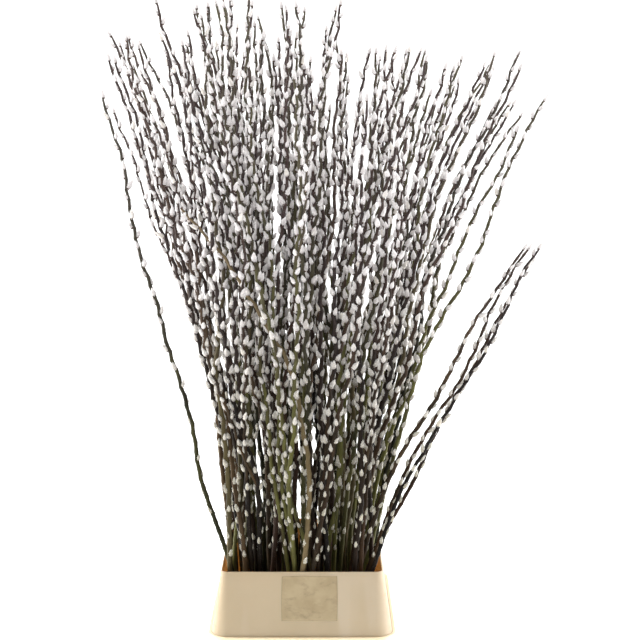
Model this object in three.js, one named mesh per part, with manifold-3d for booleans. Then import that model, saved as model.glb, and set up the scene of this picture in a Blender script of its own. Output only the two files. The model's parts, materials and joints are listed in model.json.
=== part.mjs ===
// A bunch of cut pussy willow branches, standing in a flower bucket with a tapered collar.
// Millimetres, +Z up, origin at the middle of the bucket's foot, the front of the bunch towards -Y.
import * as THREE from "three";
import { mergeVertices } from "three/addons/utils/BufferGeometryUtils.js";
import Module from "manifold-3d";

const wasm = await Module();
wasm.setup();

// Gap between pieces that rest on each other.
const seatGap = 0.3;

// Flat steps in each quarter of a rounded corner.
const cornerSteps = 4;

// Bucket: a plain tapered tub with rounded corners, a lip, and a ledge inside that carries the collar.
const bucketHeight = 200;
const bucketFoot = { width: 262, depth: 312, corner: 34 };
const bucketTop = { width: 316, depth: 366, corner: 34 };
const bucketWall = 3;
const bucketFloor = 4;
const lip = { overhang: 4, height: 14, recess: 11, underside: 2, bevel: 1, ledge: 2, haunch: 12 };

// Collar: a sheet of plastic folded into a sleeve that narrows to the rim, its corners sharper at the top.
const rimHeight = 310;
const collarTop = { width: 277, depth: 330, corner: 12 };
const collarFoot = { width: 315.4, depth: 365.4, corner: 34 };
const collarWall = 2.2;

// Blank paper label on the collar's front.
const label = { width: 95, height: 76, thickness: 0.6, across: 13, middle: 265 };

// Water in the bucket, which the cut ends stand in.
const waterDepth = 56;
const waterHole = { side: 2.2, sink: 2 };

// Branches. Each is a polyline whose corners lie at these heights, and it ends at its own tip.
const buttHeight = bucketFloor + seatGap;
const levels = [buttHeight, rimHeight, 450, 640, 840, 1060, 1300];
const rimLevel = levels.indexOf(rimHeight);
const branchSides = 4;
const ringMargin = 4;
const buttRadius = { least: 3.8, range: 1.3 };
const tipRadius = 1.6;
const taperPower = 0.7;
const depthSpread = { growth: 1.6, draw: 110 };
const goldenStep = 0.618034;
const wander = 12;

// A clump is two or three branches in one node: how far apart they pass the rim, and how deep their
// cut ends are grown into each other.
const clump = { spread: 17, overlap: 1.6 };

// Sheaves, as they lean: each spans the rim from side to side and front to back, and fans out to its tips.
// The slant is how much of its lean a sheaf already has below the rim. Its tallest branch ends at the
// height of highest, and its shortest falls short of that by up to the shortfall.
const sheaves = [
  {
    name: "stray_left", clumps: 1, each: 1, slant: 1.5, highest: 1118, shortfall: 0,
    rim: [-132, -130], depth: [-120, -116], tip: [-328, -324],
  },
  {
    name: "left", clumps: 6, each: 2, slant: 0.3, highest: 1222, shortfall: 130,
    rim: [-128, -76], depth: [-140, 140], tip: [-392, -298],
  },
  {
    name: "mid_left", clumps: 4, each: 2, slant: 0.3, highest: 1276, shortfall: 120,
    rim: [-118, -20], depth: [-140, 140], tip: [-262, -192],
  },
  {
    name: "inner_left", clumps: 9, each: 3, slant: 0.5, highest: 1274, shortfall: 190,
    rim: [-112, -6], depth: [-146, 146], tip: [-190, -50],
  },
  {
    name: "middle", clumps: 9, each: 3, slant: 0.5, highest: 1272, shortfall: 190,
    rim: [-60, 70], depth: [-146, 146], tip: [-60, 68],
  },
  {
    name: "inner_right", clumps: 8, each: 3, slant: 0.4, highest: 1192, shortfall: 180,
    rim: [4, 122], depth: [-146, 146], tip: [84, 250],
  },
  {
    name: "right", clumps: 5, each: 3, slant: 0.25, highest: 1188, shortfall: 100,
    rim: [62, 130], depth: [-140, 140], tip: [276, 456],
  },
  {
    name: "far_right", clumps: 2, each: 2, slant: 0.3, highest: 1112, shortfall: 80,
    rim: [104, 126], depth: [-110, 130], tip: [462, 528],
  },
  {
    name: "low_right", clumps: 2, each: 2, slant: 0.5, highest: 872, shortfall: 40,
    rim: [112, 124], depth: [-138, -96], tip: [648, 732],
  },
  {
    name: "stray_front", clumps: 1, each: 1, slant: -0.8, highest: 940, shortfall: 0,
    rim: [0, 2], depth: [-146, -144], tip: [-602, -598],
  },
];

// Side twigs: they leave some of the branches part of the way up, in sheaves of at least three clumps.
const twig = {
  share: 0.3,
  forks: [2, 3, 4],
  slope: 0.2,
  bendOver: 1600,
  shorter: [40, 190],
  radius: 0.72,
  bareFor: 40,
  fewestClumps: 3,
  keyStep: 500,
};

// Catkins, set in a spiral up each branch. Only a few of each row are modelled as solids.
const catkin = {
  first: 336,
  pitch: 16,
  keepEvery: 45,
  keepFrom: 4,
  turn: 137.5,
  lean: 25,
  length: 18,
  width: 8.8,
  sizes: [0.82, 1.12],
  widest: 0.4,
  sides: 3,
  sink: 0.35,
  tipMargin: 14,
  slopeOver: 5,
};

// Clearance between branches of different nodes: bare wood low down, room for two catkins higher up.
// At the rim they keep off the collar, and down in the bucket they keep off its rounded corners.
const clearance = { low: 2.5, high: 16.5, highFrom: 430, wall: 2, wallInBucket: 12 };
const neighbourReach = 90;
const relaxRounds = 160;
const smoothRounds = 110;
const smoothing = 0.08;
const negligible = 1e-9;
const weldDistance = 1e-4;

// Looks, and the share of the nodes whose bark is olive green.
const looks = {
  bucket: { color: 0xefe6d2, roughness: 0.45 },
  collar: { color: 0xc8b698, roughness: 0.55 },
  label: { color: 0xc2b28c, roughness: 0.7 },
  water: { color: 0xbfcfc8, roughness: 0.1 },
  oliveBark: { color: 0x5c5a33, roughness: 0.7 },
  brownBark: { color: 0x4a362f, roughness: 0.7 },
};
const greenShare = 0.45;

const seed = 20731;

// A repeatable draw between 0 and 1 for any whole-number keys.
function draw(...keys) {
  let h = seed;
  for (const key of keys) {
    h = Math.imul(h ^ key, 2654435761);
    h ^= h >>> 15;
  }
  h = Math.imul(h ^ (h >>> 13), 1274126177);
  return ((h ^ (h >>> 16)) >>> 0) / 4294967296;
}

const lerp = (a, b, share) => a + (b - a) * share;
const spread = (i, start) => (start + i * goldenStep) % 1;

// Lofts a closed solid through rings of equally many points.
// A looped loft joins its last ring to its first.
function loft(rings, looped = false) {
  const count = rings[0].length;
  const positions = rings.flat().flatMap((p) => [p.x, p.y, p.z]);
  const index = [];
  const bands = looped ? rings.length : rings.length - 1;
  for (let r = 0; r < bands; r++) {
    const low = r * count;
    const high = ((r + 1) % rings.length) * count;
    for (let i = 0; i < count; i++) {
      const j = (i + 1) % count;
      index.push(low + i, low + j, high + j, low + i, high + j, high + i);
    }
  }
  if (!looped) {
    const last = (rings.length - 1) * count;
    for (let i = 1; i < count - 1; i++) {
      index.push(0, i + 1, i);
      index.push(last, last + i, last + i + 1);
    }
  }
  const geometry = new THREE.BufferGeometry();
  geometry.setAttribute("position", new THREE.Float32BufferAttribute(positions, 3));
  geometry.setIndex(index);
  return geometry;
}

// A rounded rectangle at one height, as a ring of points.
function roundedRing({ width, depth, corner }, z, inset = 0) {
  const r = Math.max(corner - inset, 1);
  const ring = [];
  for (let quarter = 0; quarter < 4; quarter++) {
    const side = quarter === 0 || quarter === 3 ? 1 : -1;
    const back = quarter < 2 ? 1 : -1;
    const centreX = side * (width / 2 - inset - r);
    const centreY = back * (depth / 2 - inset - r);
    for (let step = 0; step <= cornerSteps; step++) {
      const angle = ((quarter + step / cornerSteps) * Math.PI) / 2;
      ring.push(new THREE.Vector3(centreX + r * Math.cos(angle), centreY + r * Math.sin(angle), z));
    }
  }
  return ring;
}

const between = (a, b, share) => ({
  width: lerp(a.width, b.width, share),
  depth: lerp(a.depth, b.depth, share),
  corner: lerp(a.corner, b.corner, share),
});

const bucketAt = (z) => between(bucketFoot, bucketTop, z / bucketHeight);
const collarBase = bucketHeight - lip.recess + seatGap;
const collarAt = (z) => between(collarFoot, collarTop, (z - collarBase) / (rimHeight - collarBase));

function bucketGeometry() {
  const mouth = {
    width: collarFoot.width + 2 * seatGap,
    depth: collarFoot.depth + 2 * seatGap,
    corner: collarFoot.corner + seatGap,
  };
  const ledge = bucketHeight - lip.recess;
  const lipFoot = bucketHeight - lip.height;
  return loft([
    roundedRing(bucketFoot, 0),
    roundedRing(bucketAt(lipFoot), lipFoot),
    roundedRing(bucketAt(lipFoot), lipFoot + lip.underside, -lip.overhang),
    roundedRing(mouth, bucketHeight - lip.bevel, -lip.overhang),
    roundedRing(mouth, bucketHeight, lip.bevel - lip.overhang),
    roundedRing(mouth, bucketHeight),
    roundedRing(mouth, ledge),
    roundedRing(mouth, ledge, collarWall + lip.ledge),
    roundedRing(bucketAt(ledge - lip.haunch), ledge - lip.haunch, bucketWall),
    roundedRing(bucketAt(bucketFloor), bucketFloor, bucketWall),
  ]);
}

function collarGeometry() {
  return loft(
    [
      roundedRing(collarFoot, collarBase),
      roundedRing(collarTop, rimHeight),
      roundedRing(collarTop, rimHeight, collarWall),
      roundedRing(collarFoot, collarBase, collarWall),
    ],
    true,
  );
}

// A closed geometry as a solid, and a solid back as a geometry.
function solidOf(geometry) {
  const bare = geometry.clone();
  bare.deleteAttribute("normal");
  bare.deleteAttribute("uv");
  const merged = mergeVertices(bare, weldDistance);
  return new wasm.Manifold(
    new wasm.Mesh({
      numProp: 3,
      vertProperties: merged.attributes.position.array,
      triVerts: new Uint32Array(merged.index.array),
    }),
  );
}

function geometryOf(solid) {
  const mesh = solid.getMesh();
  const geometry = new THREE.BufferGeometry();
  geometry.setAttribute("position", new THREE.BufferAttribute(mesh.vertProperties, 3));
  geometry.setIndex(new THREE.BufferAttribute(mesh.triVerts, 1));
  return geometry;
}

// Lays out every branch and twig: its node, its point at each level and the height of its tip.
function layOut() {
  const strands = [];
  const dip = (rimHeight - buttHeight) / (levels.at(-1) - rimHeight);
  sheaves.forEach((sheaf, s) => {
    for (let b = 0; b < sheaf.clumps * sheaf.each; b++) {
      const c = Math.floor(b / sheaf.each);
      const apart = ((b % sheaf.each) - (sheaf.each - 1) / 2) * clump.spread;
      const around = draw(s, c, 1) * Math.PI;
      const rim = {
        x: lerp(sheaf.rim[0], sheaf.rim[1], (c + 0.5) / sheaf.clumps) + apart * Math.cos(around),
        y: lerp(sheaf.depth[0], sheaf.depth[1], spread(c, draw(s, 16))) + apart * Math.sin(around),
      };
      const top = {
        x: lerp(sheaf.tip[0], sheaf.tip[1], spread(b, draw(s, 17))),
        y: rim.y * depthSpread.growth + (draw(s, b, 2) - 0.5) * depthSpread.draw,
      };
      const back = sheaf.slant * dip;
      const butt = { x: lerp(rim.x, top.x, -back), y: lerp(rim.y, top.y, -back) };
      strands.push({
        sheaf: s,
        node: `${sheaf.name}_branches_${String(c + 1).padStart(2, "0")}`,
        key: strands.length,
        from: 0,
        parent: null,
        tipHeight: sheaf.highest - sheaf.shortfall * draw(s, b, 3) ** 2,
        buttRadius: buttRadius.least + buttRadius.range * draw(s, b, 4),
        points: levels.map((z, k) => routePoint(butt, rim, top, z, [s, b, k])),
      });
    }
  });
  for (const branch of [...strands])
    if (draw(branch.key, 5) < twig.share && sheaves[branch.sheaf].clumps >= twig.fewestClumps)
      strands.push(twigOf(branch));
  for (const strand of strands) strand.home = strand.points.map((p) => ({ ...p }));
  keepApart(strands);
  return strands;
}

// A parabola through the butt, the rim and the top, with a little wander above the rim.
function routePoint(butt, rim, top, z, keys) {
  const share = (z - levels[0]) / (levels.at(-1) - levels[0]);
  const rimShare = (rimHeight - levels[0]) / (levels.at(-1) - levels[0]);
  const along = (a, r, t) => {
    const bend = ((r - a) / rimShare - (t - a)) / (rimShare - 1);
    return a + (t - a - bend) * share + bend * share * share;
  };
  const loose = z > rimHeight ? wander : 0;
  return {
    x: along(butt.x, rim.x, top.x) + (draw(...keys, 6) - 0.5) * 2 * loose,
    y: along(butt.y, rim.y, top.y) + (draw(...keys, 7) - 0.5) * 2 * loose,
  };
}

function twigOf(branch) {
  const from = twig.forks[Math.floor(draw(branch.key, 8) * twig.forks.length)];
  const around = draw(branch.key, 9) * 2 * Math.PI;
  const away = (k) => {
    const rise = Math.max(levels[k] - levels[from], 0);
    return twig.slope * (rise - (rise * rise) / twig.bendOver);
  };
  return {
    ...branch,
    key: branch.key + twig.keyStep,
    from,
    parent: branch,
    tipHeight: branch.tipHeight - lerp(twig.shorter[0], twig.shorter[1], draw(branch.key, 10)),
    points: branch.points.map((p, k) => ({
      x: p.x + away(k) * Math.cos(around),
      y: p.y + away(k) * Math.sin(around),
    })),
  };
}

// The wood's radius at a height.
function radiusAt(strand, z) {
  const share = Math.max(strand.tipHeight - z, 0) / (strand.tipHeight - buttHeight);
  const full = tipRadius + (strand.buttRadius - tipRadius) * share ** taperPower;
  return strand.parent ? Math.max(full * twig.radius, tipRadius) : full;
}

// Pushes the strands of different nodes apart, and keeps them inside the holder up to its rim.
function keepApart(strands) {
  const neighbours = [];
  for (let i = 0; i < strands.length; i++)
    for (let j = i + 1; j < strands.length; j++)
      if (strands[i].node !== strands[j].node && passNear(strands[i], strands[j])) neighbours.push([i, j]);
  for (let round = 0; round < relaxRounds; round++) {
    for (const [i, j] of neighbours) pushApart(strands[i], strands[j]);
    for (const strand of strands) {
      if (round < smoothRounds) smoothen(strand);
      hold(strand);
    }
    joinButts(strands);
  }
}

function passNear(a, b) {
  return levels.some((_, k) => {
    const [here, there] = [a.points[k], b.points[k]];
    return Math.abs(here.x - there.x) < neighbourReach && Math.abs(here.y - there.y) < neighbourReach;
  });
}

function clearanceAt(z) {
  const share = Math.min(Math.max((z - rimHeight) / (clearance.highFrom - rimHeight), 0), 1);
  return lerp(clearance.low, clearance.high, share);
}

function pushApart(a, b) {
  for (let k = Math.max(a.from, b.from); k < levels.length - 1; k++) {
    const startX = b.points[k].x - a.points[k].x;
    const startY = b.points[k].y - a.points[k].y;
    const changeX = b.points[k + 1].x - a.points[k + 1].x - startX;
    const changeY = b.points[k + 1].y - a.points[k + 1].y - startY;
    const change = changeX * changeX + changeY * changeY + negligible;
    const share = Math.min(Math.max(-(startX * changeX + startY * changeY) / change, 0), 1);
    const gapX = startX + share * changeX;
    const gapY = startY + share * changeY;
    const gap = Math.sqrt(gapX * gapX + gapY * gapY) + negligible;
    const z = lerp(levels[k], levels[k + 1], share);
    const short = radiusAt(a, z) + radiusAt(b, z) + clearanceAt(z) - gap;
    if (short <= 0) continue;
    const lower = 1 - share;
    const push = (0.5 * short) / (lower * lower + share * share) / gap;
    for (const [strand, sign] of [[a, -1], [b, 1]]) {
      if (k > strand.from || strand.from === 0) {
        strand.points[k].x += sign * push * lower * gapX;
        strand.points[k].y += sign * push * lower * gapY;
      }
      strand.points[k + 1].x += sign * push * share * gapX;
      strand.points[k + 1].y += sign * push * share * gapY;
    }
  }
}

// Shares a push with the levels above and below, so that a branch bends away gently.
function smoothen(strand) {
  const shift = strand.points.map((p, k) => ({ x: p.x - strand.home[k].x, y: p.y - strand.home[k].y }));
  for (let k = Math.max(strand.from, rimLevel) + 1; k < levels.length - 1; k++) {
    const share = (levels[k] - levels[k - 1]) / (levels[k + 1] - levels[k - 1]);
    strand.points[k].x += smoothing * (lerp(shift[k - 1].x, shift[k + 1].x, share) - shift[k].x);
    strand.points[k].y += smoothing * (lerp(shift[k - 1].y, shift[k + 1].y, share) - shift[k].y);
  }
}

function hold(strand) {
  if (strand.parent) {
    strand.points[strand.from].x = strand.parent.points[strand.from].x;
    strand.points[strand.from].y = strand.parent.points[strand.from].y;
    return;
  }
  for (let k = 0; k <= rimLevel; k++) {
    const size = levels[k] > collarBase ? collarAt(levels[k]) : bucketAt(levels[k]);
    const room = collarWall + strand.buttRadius + (k < rimLevel ? clearance.wallInBucket : clearance.wall);
    const limitX = size.width / 2 - room;
    const limitY = size.depth / 2 - room;
    strand.points[k].x = Math.min(Math.max(strand.points[k].x, -limitX), limitX);
    strand.points[k].y = Math.min(Math.max(strand.points[k].y, -limitY), limitY);
  }
}

// The branches of a clump stand in a row on their cut ends, grown into each other.
function joinButts(strands) {
  for (const clumped of byNode(strands).values()) {
    const row = clumped.filter((strand) => !strand.parent);
    row.sort((a, b) => a.points[rimLevel].x - b.points[rimLevel].x);
    const middleX = row.reduce((sum, strand) => sum + strand.points[0].x, 0) / row.length;
    const middleY = row.reduce((sum, strand) => sum + strand.points[0].y, 0) / row.length;
    const reach = (strand) => strand.buttRadius * Math.cos(Math.PI / branchSides) - clump.overlap / 2;
    let x = middleX - row.reduce((sum, strand) => sum + reach(strand), 0);
    for (const strand of row) {
      strand.points[0] = { x: x + reach(strand), y: middleY };
      x += 2 * reach(strand);
    }
  }
}

function byNode(strands) {
  const nodes = new Map();
  for (const strand of strands) nodes.set(strand.node, [...(nodes.get(strand.node) ?? []), strand]);
  return nodes;
}

function pointAt(strand, z) {
  let k = levels.length - 2;
  while (k > 0 && levels[k] > z) k--;
  const share = (z - levels[k]) / (levels[k + 1] - levels[k]);
  return new THREE.Vector3(
    lerp(strand.points[k].x, strand.points[k + 1].x, share),
    lerp(strand.points[k].y, strand.points[k + 1].y, share),
    z,
  );
}

function woodRing(strand, z, extra = 0) {
  const centre = pointAt(strand, z);
  const radius = radiusAt(strand, z) + extra;
  return Array.from({ length: branchSides }, (_, i) => {
    const angle = (2 * Math.PI * (i + 0.5)) / branchSides;
    return new THREE.Vector3(centre.x + radius * Math.cos(angle), centre.y + radius * Math.sin(angle), z);
  });
}

// A branch or a twig. A twig's first ring lies inside its branch, at the fork.
function woodGeometry(strand) {
  const start = levels[strand.from];
  const passed = levels.filter((z) => z > start && z < strand.tipHeight - ringMargin);
  const heights = [start, ...passed, strand.tipHeight];
  const rootShrink = strand.parent ? -radiusAt(strand, start) / 2 : 0;
  return loft(heights.map((z) => woodRing(strand, z, z === start ? rootShrink : 0)));
}

// A spindle along +Y from its root to its tip.
function spindle(length, half) {
  const positions = [0, 0, 0, 0, length, 0];
  const index = [];
  for (let i = 0; i < catkin.sides; i++) {
    const angle = (2 * Math.PI * i) / catkin.sides;
    positions.push(half * Math.cos(angle), catkin.widest * length, half * Math.sin(angle));
    const here = 2 + i;
    const next = 2 + ((i + 1) % catkin.sides);
    index.push(0, here, next, 1, next, here);
  }
  const geometry = new THREE.BufferGeometry();
  geometry.setAttribute("position", new THREE.Float32BufferAttribute(positions, 3));
  geometry.setIndex(index);
  return geometry;
}

// One catkin: a spindle that leaves the branch leaning outwards, its root sunk in the wood.
function catkinGeometry(strand, z, order) {
  const size = lerp(catkin.sizes[0], catkin.sizes[1], draw(strand.key, order, 12));
  const length = catkin.length * size;
  const half = (catkin.width * size) / 2;
  const base = pointAt(strand, z);
  const along = pointAt(strand, z + catkin.slopeOver).sub(base).normalize();
  const angle = ((order * catkin.turn + 360 * draw(strand.key, 13)) * Math.PI) / 180;
  const outward = new THREE.Vector3(Math.cos(angle), Math.sin(angle), 0).projectOnPlane(along).normalize();
  const lean = (catkin.lean * Math.PI) / 180;
  const axis = along.clone().multiplyScalar(Math.cos(lean)).addScaledVector(outward, Math.sin(lean));
  const geometry = spindle(length, half);
  const root = base.addScaledVector(outward, radiusAt(strand, z) * catkin.sink);
  const turn = new THREE.Quaternion().setFromUnitVectors(new THREE.Vector3(0, 1, 0), axis);
  return geometry.applyQuaternion(turn).translate(root.x, root.y, root.z);
}

// The heights of a strand's solid catkins, with each one's place in the real row.
function catkinSpots(strand) {
  const bare = strand.parent ? levels[strand.from] + twig.bareFor : catkin.first;
  const start = bare + catkin.pitch * draw(strand.key, 23);
  const offset = catkin.keepFrom + Math.floor(draw(strand.key, 14) * (catkin.keepEvery - catkin.keepFrom));
  const last = Math.floor((strand.tipHeight - catkin.tipMargin - start) / catkin.pitch);
  const spots = [];
  for (let order = last; order >= 0; order--)
    if (order === last || (last - order) % catkin.keepEvery === offset)
      spots.push({ order, z: start + order * catkin.pitch });
  return spots;
}

function branchSolid(strand) {
  let solid = solidOf(woodGeometry(strand));
  for (const { order, z } of catkinSpots(strand))
    solid = solid.add(solidOf(catkinGeometry(strand, z, order)));
  return solid;
}

// The water fills the bucket to its depth, with a plain hole round each node's cut ends.
function waterSolid(nodes) {
  const top = bucketFloor + waterDepth;
  let water = solidOf(
    loft([
      roundedRing(bucketAt(buttHeight), buttHeight, bucketWall + seatGap),
      roundedRing(bucketAt(top), top, bucketWall + seatGap),
    ]),
  );
  for (const strands of nodes.values()) {
    const roots = strands.filter((strand) => !strand.parent);
    const ring = (z) => {
      const corners = roots.flatMap((strand) => woodRing(strand, z, waterHole.side));
      const xs = corners.map((p) => p.x);
      const ys = corners.map((p) => p.y);
      const [west, east] = [Math.min(...xs), Math.max(...xs)];
      const [south, north] = [Math.min(...ys), Math.max(...ys)];
      return [
        new THREE.Vector3(west, south, z),
        new THREE.Vector3(east, south, z),
        new THREE.Vector3(east, north, z),
        new THREE.Vector3(west, north, z),
      ];
    };
    water = water.subtract(solidOf(loft([ring(buttHeight - waterHole.sink), ring(top + waterHole.sink)])));
  }
  return water;
}

const group = new THREE.Group();

function addPiece(name, geometry, look) {
  const mesh = new THREE.Mesh(geometry, new THREE.MeshStandardMaterial(look));
  mesh.name = name;
  group.add(mesh);
  return mesh;
}

addPiece("bucket", bucketGeometry(), looks.bucket);
addPiece("collar", collarGeometry(), looks.collar);

// The label lies flat on the collar's leaning front.
const frontLean = Math.atan((collarFoot.depth - collarTop.depth) / 2 / (rimHeight - collarBase));
const labelGeometry = new THREE.BoxGeometry(label.width, label.thickness, label.height);
const labelPiece = addPiece("label", labelGeometry, looks.label);
labelPiece.rotation.x = -frontLean;
const labelStandOff = (label.thickness / 2 + seatGap) / Math.cos(frontLean);
labelPiece.position.set(label.across, -collarAt(label.middle).depth / 2 - labelStandOff, label.middle);

const nodes = byNode(layOut());

addPiece("water", geometryOf(waterSolid(nodes)), looks.water);

for (const [name, strands] of nodes) {
  const solid = strands.map(branchSolid).reduce((whole, one) => whole.add(one));
  const bark = draw(strands[0].key, 15) < greenShare ? looks.oliveBark : looks.brownBark;
  addPiece(name, geometryOf(solid), bark);
}

export default group;
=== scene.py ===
import json
import math

import bpy
import numpy as np
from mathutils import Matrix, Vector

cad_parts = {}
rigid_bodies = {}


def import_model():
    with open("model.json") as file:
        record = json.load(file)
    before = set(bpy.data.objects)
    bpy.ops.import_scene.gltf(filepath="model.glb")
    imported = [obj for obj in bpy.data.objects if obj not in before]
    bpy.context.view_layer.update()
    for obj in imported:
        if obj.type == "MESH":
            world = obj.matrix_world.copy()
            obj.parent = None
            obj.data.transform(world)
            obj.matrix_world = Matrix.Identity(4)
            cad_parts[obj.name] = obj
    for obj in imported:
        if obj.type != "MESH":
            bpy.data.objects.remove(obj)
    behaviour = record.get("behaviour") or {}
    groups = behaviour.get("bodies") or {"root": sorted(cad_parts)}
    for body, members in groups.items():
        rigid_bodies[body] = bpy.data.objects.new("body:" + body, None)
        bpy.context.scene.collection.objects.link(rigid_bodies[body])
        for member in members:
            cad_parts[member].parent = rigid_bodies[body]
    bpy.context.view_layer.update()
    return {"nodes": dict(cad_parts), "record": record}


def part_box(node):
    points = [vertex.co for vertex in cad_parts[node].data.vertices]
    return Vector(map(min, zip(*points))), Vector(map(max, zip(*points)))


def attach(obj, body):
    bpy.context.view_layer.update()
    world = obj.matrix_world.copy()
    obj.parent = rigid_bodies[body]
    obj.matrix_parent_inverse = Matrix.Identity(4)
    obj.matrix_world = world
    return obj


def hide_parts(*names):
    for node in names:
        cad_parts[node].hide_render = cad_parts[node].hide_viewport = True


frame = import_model()

MM = 0.001

# The holder: a tapered bucket with a lip, and a collar that narrows from its mouth to the rim.
RIM_HEIGHT = 310
BUCKET_HEIGHT = 200
BUCKET_FOOT = {"width": 262, "depth": 312, "corner": 34}
BUCKET_TOP = {"width": 316, "depth": 366, "corner": 34}
BUCKET_WALL = 3
BUCKET_FLOOR = 4
SEAT_GAP = 0.3
LIP = {"overhang": 4, "height": 14, "recess": 11, "ledge": 2, "haunch": 12}
COLLAR_BASE = BUCKET_HEIGHT - LIP["recess"] + SEAT_GAP
COLLAR_TOP = {"width": 277, "depth": 330, "corner": 12}
COLLAR_FOOT = {"width": 315.4, "depth": 365.4, "corner": 34}
COLLAR_WALL = 2.2

# Finer forms of the holder that only its dressed pieces have: points along each corner and side, rings
# of the collar's wall and rim, and the angle in degrees from which an edge is drawn sharp.
CORNER_STEPS = 12
SIDE_STEPS = 6
COLLAR_RINGS = 9
RIM_RINGS = 6
SHARP_FROM = 35

# The collar's faces give inwards a little. A point belongs to the front or back beyond this share of the
# depth. The label's border is ragged in waves.
COLLAR_BOW = 1.1
BOWED_SIDES = 0.46
LABEL_GRID = (24, 16)
LABEL_THICKNESS = 0.5
LABEL_GAP = 0.1
RAGGED = {"reach": 0.6, "across": 9, "up": 4, "rise": 0.5}

# The bucket's section: its foot as heights and insets, its lip's start as rises and shares of the
# overhang, its lip's roll as drops and insets, and its inside.
FOOT_EDGE = ((0, 3.0), (1.2, 0.8), (3.2, 0.0))
LIP_START = ((0.3, 0.6), (1.6, 1.0))
LIP_ROLL = ((-2.6, 0.0), (-0.9, 0.4), (0.0, 1.5))
OUTER_WALL = {"from": 20, "rings": 7}
INNER_WALL = {"middle": 100, "corner_height": 5, "corner_inset": 4}

# The branches' layout, the same rule as in the part's source.
BUTT_HEIGHT = BUCKET_FLOOR + SEAT_GAP
LEVELS = [BUTT_HEIGHT, RIM_HEIGHT, 450, 640, 840, 1060, 1300]
RIM_LEVEL = 1
BRANCH_SIDES = 4
BUTT_RADIUS = {"least": 3.8, "range": 1.3}
TIP_RADIUS = 1.6
TAPER_POWER = 0.7
DEPTH_SPREAD = {"growth": 1.6, "draw": 110}
GOLDEN_STEP = 0.618034
WANDER = 12
CLUMP = {"spread": 17, "overlap": 1.6}


def sheaf(name, clumps, each, slant, highest, shortfall, rim, depth, tip):
    return {
        "name": name,
        "clumps": clumps,
        "each": each,
        "slant": slant,
        "highest": highest,
        "shortfall": shortfall,
        "rim": rim,
        "depth": depth,
        "tip": tip,
    }


SHEAVES = [
    sheaf("stray_left", 1, 1, 1.5, 1118, 0, (-132, -130), (-120, -116), (-328, -324)),
    sheaf("left", 6, 2, 0.3, 1222, 130, (-128, -76), (-140, 140), (-392, -298)),
    sheaf("mid_left", 4, 2, 0.3, 1276, 120, (-118, -20), (-140, 140), (-262, -192)),
    sheaf("inner_left", 9, 3, 0.5, 1274, 190, (-112, -6), (-146, 146), (-190, -50)),
    sheaf("middle", 9, 3, 0.5, 1272, 190, (-60, 70), (-146, 146), (-60, 68)),
    sheaf("inner_right", 8, 3, 0.4, 1192, 180, (4, 122), (-146, 146), (84, 250)),
    sheaf("right", 5, 3, 0.25, 1188, 100, (62, 130), (-140, 140), (276, 456)),
    sheaf("far_right", 2, 2, 0.3, 1112, 80, (104, 126), (-110, 130), (462, 528)),
    sheaf("low_right", 2, 2, 0.5, 872, 40, (112, 124), (-138, -96), (648, 732)),
    sheaf("stray_front", 1, 1, -0.8, 940, 0, (0, 2), (-146, -144), (-602, -598)),
]
TWIG = {
    "share": 0.3,
    "forks": [2, 3, 4],
    "slope": 0.2,
    "bend_over": 1600,
    "shorter": (40, 190),
    "radius": 0.72,
    "bare_for": 40,
    "fewest_clumps": 3,
    "key_step": 500,
}
CATKIN = {
    "first": 336,
    "pitch": 16,
    "turn": 137.5,
    "lean": 25,
    "length": 18,
    "width": 8.8,
    "sink": 0.35,
    "tip_margin": 14,
    "slope_over": 5,
}
CLEARANCE = {"low": 2.5, "high": 16.5, "high_from": 430, "wall": 2, "wall_in_bucket": 12}
NEGLIGIBLE = 1e-9
NEIGHBOUR_REACH = 90
RELAX_ROUNDS = 160
SMOOTH_ROUNDS = 110
SMOOTHING = 0.08

# Each draw takes the seed, whole-number keys, and as the last key what it decides.
SEED = 20731
WORD = 0xFFFFFFFF
HASH_STEP = 2654435761
HASH_END = 1274126177
AROUND, TOP_DEPTH, SHORTFALL, THICKNESS, HAS_TWIG, WANDERING = 1, 2, 3, 4, 5, 6
FORK, TWIG_AROUND, TWIG_SHORTER = 8, 9, 10
CATKIN_SIZE, FIRST_TURN, DEPTHS_START, TIPS_START = 12, 13, 16, 17
KEPT, LEANING, FUR_TONE, BARK_TONE, FIRST_HEIGHT = 18, 19, 21, 22, 23
SWAY_PHASE, SWAY_LENGTH = 30, 31

# Finer forms that only the dressed branches have: a sway in waves, each with its reach, its length and
# the heights over which it sets in, a kink at every bud, and a swelling under it.
SWAY = ((3.0, 220, (330, 620)), (0.9, 95, (330, 620)), (7.0, 560, (640, 1140)))
SWAY_STRETCH = (0.8, 1.25)
KINKED_FROM = (330, 620)
FORK_BLEND = 60
WOOD_SIDES = 6
BARE_STEP = 26
ZIGZAG = 1.5
NODE_SWELL = 0.2
NODE_REACH = 3
FORK_SINK = 6
ROOT_SHRINK = 0.6
BARE_TIP = 8
TIP_CLOSING = {"over": 1.5, "shares": (0.75, 0.25)}

# A twig starts a little under its fork, so its course runs on below its first level by up to this share.
RUN_ON_BELOW = -0.5

# A catkin: its half width at each share of its length, and the slim tufts that stand off it.
CATKIN_SIDES = 6
CATKIN_PROFILE = [
    (0.0, 0.34),
    (0.1, 0.66),
    (0.22, 0.95),
    (0.4, 1.0),
    (0.62, 0.76),
    (0.84, 0.36),
]
SCALE_RINGS = 2
TUFTS = 5
TUFT = {
    "lowest": 0.22,
    "range": 0.6,
    "sink": 0.88,
    "spread": 0.24,
    "root": 0.03,
    "stand_off": 0.2,
    "rise": 0.24,
}

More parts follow.
